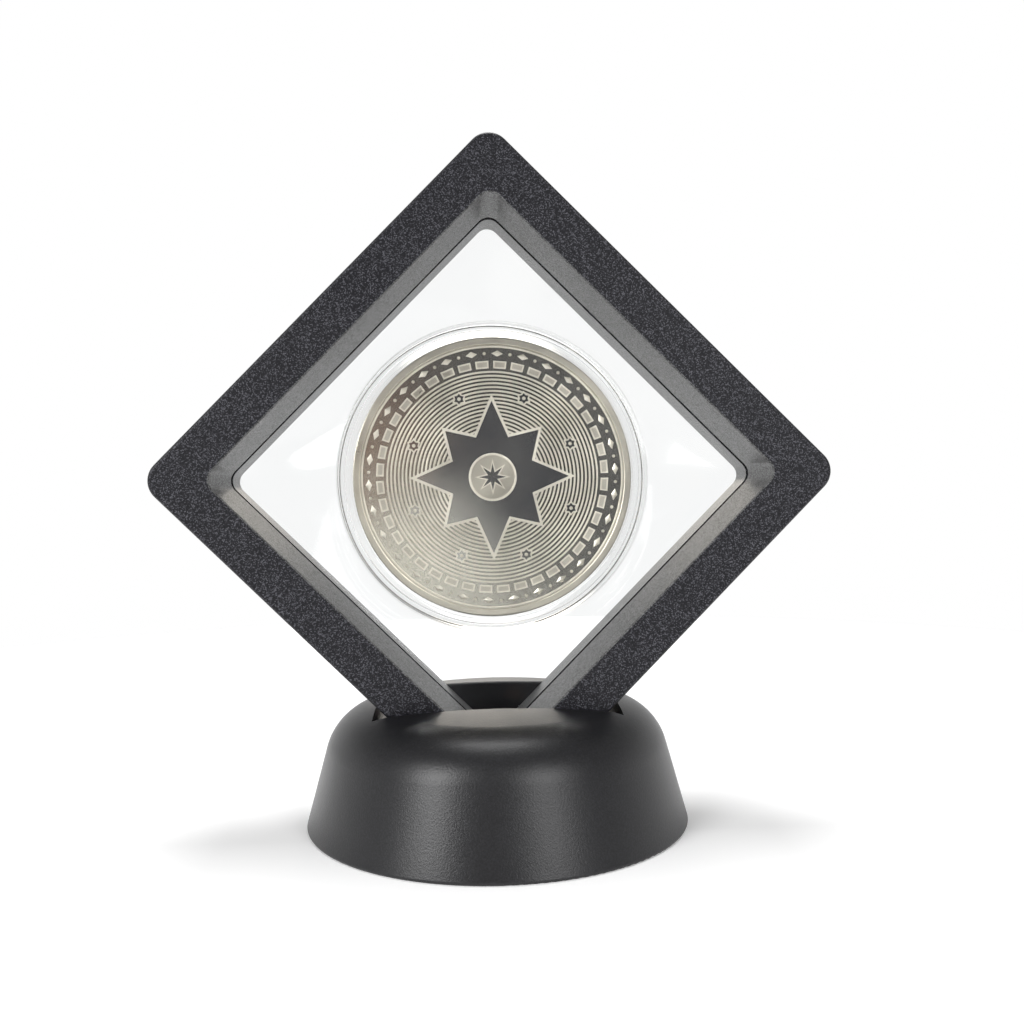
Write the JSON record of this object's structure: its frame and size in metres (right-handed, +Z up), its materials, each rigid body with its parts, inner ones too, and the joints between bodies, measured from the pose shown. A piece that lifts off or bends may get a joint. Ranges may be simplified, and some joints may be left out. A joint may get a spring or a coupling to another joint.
{
  "type": "coin display case with stand",
  "caption": "Round clear capsule with a coin, held between two films in a hinged square case that stands on its corner in a slotted domed stand.",
  "frame": {"origin": "centre of the stand's foot, on the surface that it stands on", "axes": "+Z up; -Y is the front, from which the coin is looked at; +X to the viewer's right"},
  "size_m": [0.0964, 0.0566, 0.0992],
  "materials": {
    "black_plastic": "fine spark-eroded texture",
    "stand_plastic": "satin",
    "clear_film": "clear elastic film",
    "clear_acrylic": "clear moulded acrylic",
    "coin_metal": "polished and frosted silver-coloured plating",
    "pin_steel": "drawn wire"
  },
  "bodies": {
    "stand": {"stand_base": "stand_plastic"},
    "case": {"front_case_half": "black_plastic", "rear_case_half": "black_plastic", "hinge_pin_upper": "pin_steel", "hinge_pin_lower": "pin_steel", "front_film_frame": "black_plastic", "rear_film_frame": "black_plastic", "front_film": "clear_film", "rear_film": "clear_film", "capsule_front": "clear_acrylic", "capsule_rear": "clear_acrylic", "coin": "coin_metal"}
  },
  "joints": [
    {"name": "case_lift", "type": "slide", "parent": "stand", "child": "case", "axis": [0, 0, 1], "range_m": [0, 0.02]}
  ]
}
